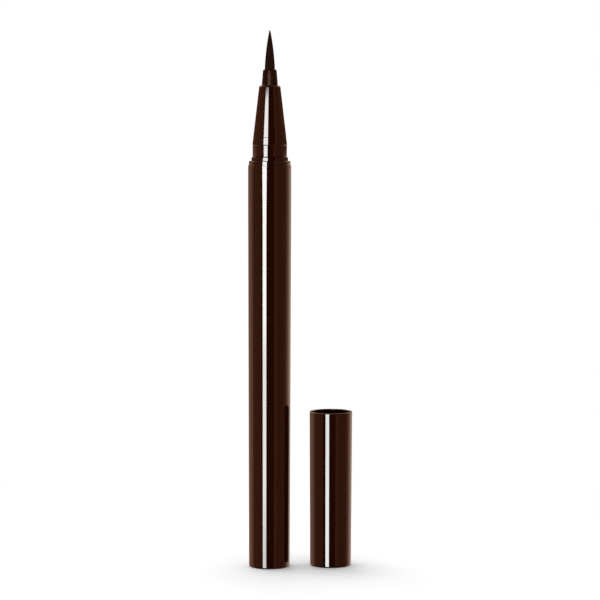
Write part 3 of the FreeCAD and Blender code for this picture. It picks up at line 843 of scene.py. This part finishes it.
class PEN_OT_nib_holder(PieceOperator, bpy.types.Operator):
    """Turn the satin sleeve that holds the nib"""

    bl_idname = "pen.make_nib_holder"
    bl_label = "Nib holder"

    def execute(self, context):
        edge = context.scene.pen_body.edge_break
        size = context.scene.pen_nose
        holder = Turned("nib_holder")
        nose = Turned("front_section")
        nib = Turned("nib")
        nib_bore = nib.radius + size.nib_play
        core_bore = Turned("relay_core").radius + size.core_play
        turned_piece("pen_nib_holder", holder, "pen", "satin_plastic", [
            (core_bore, holder.low, edge),
            (holder.radius, holder.low, edge),
            (holder.radius, holder.low + size.holder_flange, edge),
            (size.holder_radius, holder.low + size.holder_flange, edge),
            (size.holder_radius, nose.high, size.holder_radius),
            (size.holder_tip_radius, holder.high, size.holder_rounding),
            (nib_bore, holder.high, edge),
            (nib_bore, nib.low, edge),
            (core_bore, nib.low, edge),
        ])
        return {"FINISHED"}


class PEN_OT_nib(PieceOperator, bpy.types.Operator):
    """Grow the pointed fibre nib, with furrows between its strands"""

    bl_idname = "pen.make_nib"
    bl_label = "Nib"

    def execute(self, context):
        size = context.scene.pen_nose
        nib = Turned("nib")
        holder = Turned("nib_holder")
        vertices, faces = fibre_nib(nib, holder.high, size)
        dress(make_piece("pen_nib", vertices, faces), "nib", "pen", "inked_fibre")
        return {"FINISHED"}


class PEN_OT_cap_shell(PieceOperator, bpy.types.Operator):
    """Turn the gloss cap with its rounded rim"""

    bl_idname = "pen.make_cap_shell"
    bl_label = "Cap shell"

    def execute(self, context):
        edge = context.scene.pen_body.edge_break
        size = context.scene.pen_cap
        cap = Turned("cap_shell")
        ring = Turned("inner_cap_retainer")
        ring_seat = ring.radius + size.ring_play
        bore_end = ring.high + size.bore_lead
        floor = cap.low + size.floor
        boss_top = floor + size.boss_height
        turned_piece("cap_outer_shell", cap, "cap", "gloss_shell", [
            (0.0, cap.low, 0.0),
            (size.end_radius, cap.low, size.end_rounding),
            (cap.radius, cap.high, size.rim_rounding),
            (size.mouth_radius, cap.high, size.lip_rounding),
            (size.mouth_radius, cap.high - size.mouth_depth, edge),
            (size.bore_radius, cap.high - size.mouth_depth, edge),
            (size.bore_radius, bore_end, edge),
            (ring_seat, bore_end, edge),
            (ring_seat, ring.low, edge),
            (size.guide_radius, ring.low, edge),
            (size.guide_radius, floor, edge),
            (size.boss_radius, floor, edge),
            (size.boss_radius, boss_top, edge),
            (0.0, boss_top, 0.0),
        ])
        return {"FINISHED"}


class PEN_OT_inner_cap(PieceOperator, bpy.types.Operator):
    """Turn the sprung inner cap and the ring that keeps it in"""

    bl_idname = "pen.make_inner_cap"
    bl_label = "Inner cap and retainer"

    def execute(self, context):
        edge = context.scene.pen_body.edge_break
        size = context.scene.pen_cap
        ring = Turned("inner_cap_retainer")
        turned_piece("cap_retainer_ring", ring, "cap", "satin_plastic", [
            (size.ring_inner_radius, ring.low, edge),
            (ring.radius, ring.low, edge),
            (ring.radius, ring.high, edge),
            (size.ring_inner_radius, ring.high, size.soft_rounding),
        ])
        cup = Turned("inner_cap")
        foot = cup.low + size.boss_height
        floor = foot + size.cup_wall
        flange = cup.high - size.cup_flange
        cavity = size.cup_radius - size.cup_wall
        turned_piece("cap_inner_cup", cup, "sealing_cup", "natural_plastic", [
            (0.0, cup.low, 0.0),
            (size.boss_radius, cup.low, edge),
            (size.boss_radius, foot, edge),
            (size.cup_radius - size.cup_draft, foot, size.soft_rounding),
            (size.cup_radius, flange, edge),
            (cup.radius, flange, edge),
            (cup.radius, cup.high, edge),
            (cavity, cup.high, size.soft_rounding),
            (cavity - size.cup_draft, floor, size.soft_rounding),
            (0.0, floor, 0.0),
        ])
        return {"FINISHED"}


class PEN_OT_spring(PieceOperator, bpy.types.Operator):
    """Wind the coil spring behind the inner cap, with closed ends"""

    bl_idname = "pen.make_spring"
    bl_label = "Spring"

    def execute(self, context):
        size = context.scene.pen_cap
        coil = Turned("inner_cap_spring")
        vertices, faces = wound_wire(coil, size)
        piece = make_piece("cap_spring", vertices, faces)
        dress(piece, "inner_cap_spring", "cap", "bright_steel")
        press = next(joint for joint in frame["joints"] if joint["name"] == "inner_cap_press")
        floor = Turned("cap_shell").low + size.floor
        room = Turned("inner_cap").low + size.boss_height - floor
        kept = (room - press["range_m"][1]) / room
        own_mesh(piece)
        return {"FINISHED"}


INSIDE_NODES = ("tail_seal", "section_seal", "mixing_ball", "ink_collector", "relay_core")


class PEN_OT_inside(PieceOperator, bpy.types.Operator):
    """Give the pieces inside the pen their finishes"""

    bl_idname = "pen.finish_inside"
    bl_label = "Inner pieces"

    def execute(self, context):
        slots = {row["node"]: row["material_slot"] for row in frame["record"]["subparts"]}
        for node in INSIDE_NODES:
            slot = slots[node]
            frame["nodes"][node].material_slots[0].material = finish_material(slot)
        return {"FINISHED"}


# Stage

# The floor's own glow begins and is full at these shares of its radius
FLOOR_GLOW = (0.06, 0.60)


def studio_floor(stage):
    """A round pale floor that keeps the shadow near the object and glows plain white further out."""
    angles = round_angles(TURN_STEPS)
    circle = np.stack([np.cos(angles), np.sin(angles), np.zeros_like(angles)], axis=-1)
    rim = stage.floor_radius * circle
    floor = make_piece("studio_floor", rim, [np.arange(TURN_STEPS)[None]])
    material = bpy.data.materials.new("studio_floor_paint")
    tree = Tree(material)
    apart = tree.node("ShaderNodeVectorMath", {"operation": "LENGTH"}, {0: tree.place()})["Value"]
    glow = apart.step(*(stage.floor_radius * part for part in FLOOR_GLOW))
    paint = tree.node("ShaderNodeBsdfDiffuse", None, {"Color": (*stage.floor_colour, 1.0)})["BSDF"]
    light = tree.node("ShaderNodeEmission", None, {"Color": (*WHITE, 1.0), "Strength": 1.0})["Emission"]
    mixed = tree.node("ShaderNodeMixShader", None, {0: glow, 1: paint, 2: light})["Shader"]
    tree.node("ShaderNodeOutputMaterial", None, {"Surface": mixed})
    floor.data.materials.append(material)
    floor.visible_glossy = False


SOFTBOX_ROWS = 90
SOFTBOX_COLUMNS = 12
# Each further softbox stands a little farther out, by this share of the first one's distance
SOFTBOX_SPACING = 0.05
# Ray depth is one in a first reflection and two in a second, and the softbox goes out between
FIRST_REFLECTION = (1.2, 1.8)
# The pieces whose gloss shows a softbox, its level at the foot, and rises of that level between two heights
SOFTBOXES = {
    "pen": {
        "pieces": ("pen_barrel", "pen_tail_plug", "pen_collar_ring", "pen_snap_ring", "pen_front_section",
                   "pen_nib"),
        "foot": 0.62,
        "rises": ((-0.105, -0.060, 0.20), (-0.012, 0.018, 0.18), (0.084, 0.092, -0.13)),
    },
    "cap": {
        "pieces": ("cap_outer_shell", "cap_retainer_ring", "cap_inner_cup", "cap_spring"),
        "foot": 0.86,
        "rises": ((-0.095, -0.040, -0.06),),
    },
    "holder": {
        "pieces": ("pen_nib_holder",),
        "foot": 1.0,
        "rises": (),
    },
}


def studio_softbox(receiver, stage, away, turn):
    """A tall softbox on a cylinder round the pen, which shows only as a stripe in some pieces' gloss.

    Its edges are bearings that spread by the flare over a stretch of height. Its glow is a foot level and
    some smooth rises, each from one height to another. It fades at its upper end, which slants down to the
    left, and it shows in first reflections alone.
    """
    heights = np.linspace(-stage.softbox_drop, stage.softbox_high, SOFTBOX_ROWS)
    flared = (heights - stage.flare_low) / (stage.flare_high - stage.flare_low)
    spread = smooth(flared) * stage.softbox_flare
    across = np.linspace(0.0, 1.0, SOFTBOX_COLUMNS)
    left = stage.softbox_left + turn - spread[:, None]
    right = stage.softbox_right + turn + spread[:, None]
    bearings = left + (right - left) * across
    grid = np.stack([
        away * np.sin(bearings),
        -away * np.cos(bearings),
        np.repeat(heights[:, None], SOFTBOX_COLUMNS, axis=1)], axis=-1)
    index = np.arange(SOFTBOX_ROWS * SOFTBOX_COLUMNS).reshape(SOFTBOX_ROWS, SOFTBOX_COLUMNS)
    faces = np.stack([index[:-1, :-1], index[1:, :-1], index[1:, 1:], index[:-1, 1:]], axis=-1)
    panel = make_piece(f"studio_softbox_{receiver}", grid.reshape(-1, 3), [faces.reshape(-1, 4)])
    material = bpy.data.materials.new(f"studio_softbox_{receiver}_glow")
    material.cycles.emission_sampling = "NONE"
    tree = Tree(material)
    spot_bearing, height = tree.bearing_and_height(tree.place())
    slanted = height + (stage.softbox_right + turn - spot_bearing) * stage.softbox_slant
    level = SOFTBOXES[receiver]["foot"]
    for low, high, rise in SOFTBOXES[receiver]["rises"]:
        level = level + height.step(low, high) * rise
    fade = 1.0 - slanted.step(stage.softbox_high - stage.softbox_fade, stage.softbox_high)
    direct = 1.0 - tree.node("ShaderNodeLightPath")["Ray Depth"].step(*FIRST_REFLECTION)
    glow = tree.node("ShaderNodeEmission", None, {
        "Color": tree.blend(fade * level * direct, BLACK, WHITE),
        "Strength": stage.softbox_strength})["Emission"]
    clear = tree.node("ShaderNodeBsdfTransparent")["BSDF"]
    surface = tree.node("ShaderNodeAddShader", None, {0: glow, 1: clear})["Shader"]
    tree.node("ShaderNodeOutputMaterial", None, {"Surface": surface})
    panel.data.materials.append(material)
    panel.visible_camera = False
    panel.visible_diffuse = False
    panel.visible_shadow = False
    receivers = bpy.data.collections.new(f"studio_softbox_{receiver}_receivers")
    for piece in bpy.data.objects:
        if piece.name in SOFTBOXES[receiver]["pieces"]:
            receivers.objects.link(piece)
    panel.light_linking.receiver_collection = receivers


LAMP_PLACE = (-0.06, 0.10, 0.62)
LAMP_TARGET = (0.005, 0.0, 0.05)


def studio_lamp(stage):
    """A square soft lamp overhead that lights the object's colour and leaves no mark in its gloss."""
    lamp = bpy.data.lights.new("studio_top", "AREA")
    lamp.shape = "SQUARE"
    lamp.size = stage.lamp_width
    lamp.energy = stage.lamp_power
    holder = bpy.data.objects.new("studio_top", lamp)
    holder.location = LAMP_PLACE
    way = np.subtract(LAMP_TARGET, LAMP_PLACE)
    flat = math.hypot(way[0], way[1])
    holder.rotation_euler = (math.atan2(flat, -way[2]), 0.0, math.atan2(way[1], way[0]) - math.pi / 2)
    holder.visible_camera = False
    holder.visible_glossy = False
    bpy.context.scene.collection.objects.link(holder)


# Where the gloss sees the room's parts begin and end. Bearings are degrees from the viewer, to either side.
LEFT_CARD = (43.0, 46.0)
RIGHT_CARD = (24.0, 26.5)
RIGHT_CARD_EDGE = (27.0, 50.0)
RIGHT_CARD_LEAN = 13.0
CARD_LOSS = (90.0, 160.0)
LEFT_SWEEP = (95.0, 110.0)
LEFT_SWEEP_LOSS = (118.0, 165.0)
RIGHT_SWEEP = (84.0, 140.0)
RIGHT_SWEEP_LOSS = (140.0, 170.0)
BACKDROP = (90.0, 120.0)
# Heights are the upward part of the way there: nought is eye level and one is straight up
LEAN_HEIGHTS = (0.02, 0.16)
LEFT_SWEEP_TOP = (-0.024, -0.012)
RIGHT_SWEEP_TOP = (-0.0245, -0.0175)
BACKDROP_FOOT = (0.12, 0.25)
FAR_BELOW = (-0.60, -0.25)
OVERHEAD = (0.45, 0.80)


def studio_room(stage):
    """White behind everything the camera sees, an even level on matt surfaces, and a studio in the gloss.

    The gloss shows a dim front, a warm card at each side, a paler sweep further round below eye level, a
    light backdrop well above it, and a ceiling. Each is a smooth step of the bearing round the upright axis
    or of height. The right card begins further round higher up, and far below eye level the cards and sweeps
    are dimmer.
    """
    world = bpy.data.worlds.new("studio_room")
    bpy.context.scene.world = world
    tree = Tree(world)
    turn, height = tree.bearing_and_height(tree.node("ShaderNodeTexCoord")["Generated"])
    right = turn * math.degrees(1.0)
    left = 0.0 - right
    aside = right.absolute()
    left_low = 1.0 - height.step(*LEFT_SWEEP_TOP)
    right_low = 1.0 - height.step(*RIGHT_SWEEP_TOP)
    left_card = left.step(*LEFT_CARD) * stage.left_card_level
    leaning = right - height.step(*LEAN_HEIGHTS) * RIGHT_CARD_LEAN
    right_start = leaning.step(*RIGHT_CARD)
    right_card = right_start * stage.right_card_level
    near_edge = (right_start - leaning.step(*RIGHT_CARD_EDGE)) * stage.right_card_edge
    kept = 1.0 - (1.0 - left_low) * aside.step(*CARD_LOSS) * stage.card_drop
    cards = (left_card + right_card + near_edge) * kept
    left_sweep = left.step(*LEFT_SWEEP) * left_low
    left_loss = left.step(*LEFT_SWEEP_LOSS) * left_low * stage.left_sweep_drop
    left_rise = left_sweep * stage.left_sweep_level - left_loss
    right_sweep = right.step(*RIGHT_SWEEP) * right_low
    right_loss = right.step(*RIGHT_SWEEP_LOSS) * right_low * stage.right_sweep_drop
    right_rise = right_sweep * stage.right_sweep_level - right_loss
    backdrop = aside.step(*BACKDROP) * height.step(*BACKDROP_FOOT)
    deep = 1.0 - height.step(*FAR_BELOW)
    sides = (cards + left_rise + right_rise) * (1.0 - deep * stage.depth_drop)
    level = stage.front_level + sides + backdrop * stage.back_level
    overhead = height.step(*OVERHEAD)
    bright = level + overhead * (stage.overhead_level - level)
    tone = tree.blend(left_sweep, stage.card_colour, stage.left_sweep_colour)
    tone = tree.blend(right_sweep, tone, stage.right_sweep_colour)
    tone = tree.blend(backdrop, tone, stage.overhead_colour)
    tone = tree.blend(overhead, tone, stage.overhead_colour)
    room = tree.node("ShaderNodeVectorMath", {"operation": "SCALE"}, {0: tone, "Scale": bright})["Vector"]
    path = tree.node("ShaderNodeLightPath")
    lit = tree.blend(path["Is Glossy Ray"], scaled(WHITE, stage.fill_level), room)
    shown = tree.blend(path["Is Camera Ray"], lit, WHITE)
    glow = tree.node("ShaderNodeBackground", None, {"Color": shown, "Strength": 1.0})["Background"]
    tree.node("ShaderNodeOutputWorld", None, {"Surface": glow})


SENSOR_WIDTH = 36.0
SIGHT_RANGE = (0.01, 100.0)


def studio_camera(stage):
    """The camera at the height, distance and tilt that the view was worked out to have."""
    lens = bpy.data.cameras.new("studio_camera")
    lens.sensor_width = SENSOR_WIDTH
    lens.lens = stage.focal_length
    lens.clip_start, lens.clip_end = SIGHT_RANGE
    camera = bpy.data.objects.new("studio_camera", lens)
    camera.location = (stage.camera_across, -stage.camera_away, stage.camera_height)
    camera.rotation_euler = (math.pi / 2 - stage.camera_tilt, -stage.camera_roll, 0.0)
    bpy.context.scene.collection.objects.link(camera)
    bpy.context.scene.camera = camera


# The cap's left side shows the studio in its gloss and not the pen beside it
UNREFLECTED = ("pen_barrel", "pen_tail_plug", "tail_seal", "mixing_ball")


class PEN_OT_stage(bpy.types.Operator):
    """Set the floor, the light, the room and the camera"""

    bl_idname = "pen.set_stage"
    bl_label = "Stage"

    def execute(self, context):
        stage = context.scene.pen_stage
        context.scene.view_settings.view_transform = "Standard"
        studio_floor(stage)
        turns = {"pen": 0.0, "cap": stage.softbox_turn, "holder": stage.holder_turn}
        for number, (receiver, turn) in enumerate(turns.items()):
            studio_softbox(receiver, stage, stage.softbox_away * (1.0 + SOFTBOX_SPACING * number), turn)
        studio_lamp(stage)
        studio_room(stage)
        studio_camera(stage)
        for name in UNREFLECTED:
            bpy.data.objects[name].visible_glossy = False
        return {"FINISHED"}


class PEN_PT_looks(bpy.types.Panel):
    """Steps and sizes of the pen's looks"""

    bl_idname = "PEN_PT_looks"
    bl_label = "Eyeliner Pen"
    bl_space_type = "VIEW_3D"
    bl_region_type = "UI"
    bl_category = "Pen"

    def draw(self, context):
        for step in STEPS:
            self.layout.operator(step.bl_idname)
        for group in PROPERTY_GROUPS:
            owner = getattr(context.scene, group)
            box = self.layout.box()
            for name in owner.bl_rna.properties.keys():
                if name not in ("rna_type", "name"):
                    box.prop(owner, name)


PROPERTY_GROUPS = {
    "pen_body": PenBodySizes,
    "pen_nose": PenNoseSizes,
    "pen_cap": PenCapSizes,
    "pen_finish": PenFinish,
    "pen_stage": PenStage,
}
STEPS = (
    PEN_OT_barrel,
    PEN_OT_tail_plug,
    PEN_OT_rings,
    PEN_OT_front_section,
    PEN_OT_nib_holder,
    PEN_OT_nib,
    PEN_OT_cap_shell,
    PEN_OT_inner_cap,
    PEN_OT_spring,
    PEN_OT_inside,
    PEN_OT_stage,
)


def register():
    """Registers the classes and hangs the property groups on the scene."""
    for item in (*PROPERTY_GROUPS.values(), *STEPS, PEN_PT_looks):
        bpy.utils.register_class(item)
    for name, group in PROPERTY_GROUPS.items():
        setattr(bpy.types.Scene, name, bpy.props.PointerProperty(type=group))


def unregister():
    """Takes back what register added."""
    for name in PROPERTY_GROUPS:
        delattr(bpy.types.Scene, name)
    for item in reversed((*PROPERTY_GROUPS.values(), *STEPS, PEN_PT_looks)):
        bpy.utils.unregister_class(item)


def main():
    register()
    bpy.ops.pen.make_barrel()
    bpy.ops.pen.make_tail_plug()
    bpy.ops.pen.make_rings()
    bpy.ops.pen.make_front_section()
    bpy.ops.pen.make_nib_holder()
    bpy.ops.pen.make_nib()
    bpy.ops.pen.make_cap_shell()
    bpy.ops.pen.make_inner_cap()
    bpy.ops.pen.make_spring()
    bpy.ops.pen.finish_inside()
    bpy.ops.pen.set_stage()


if __name__ == "__main__":
    main()
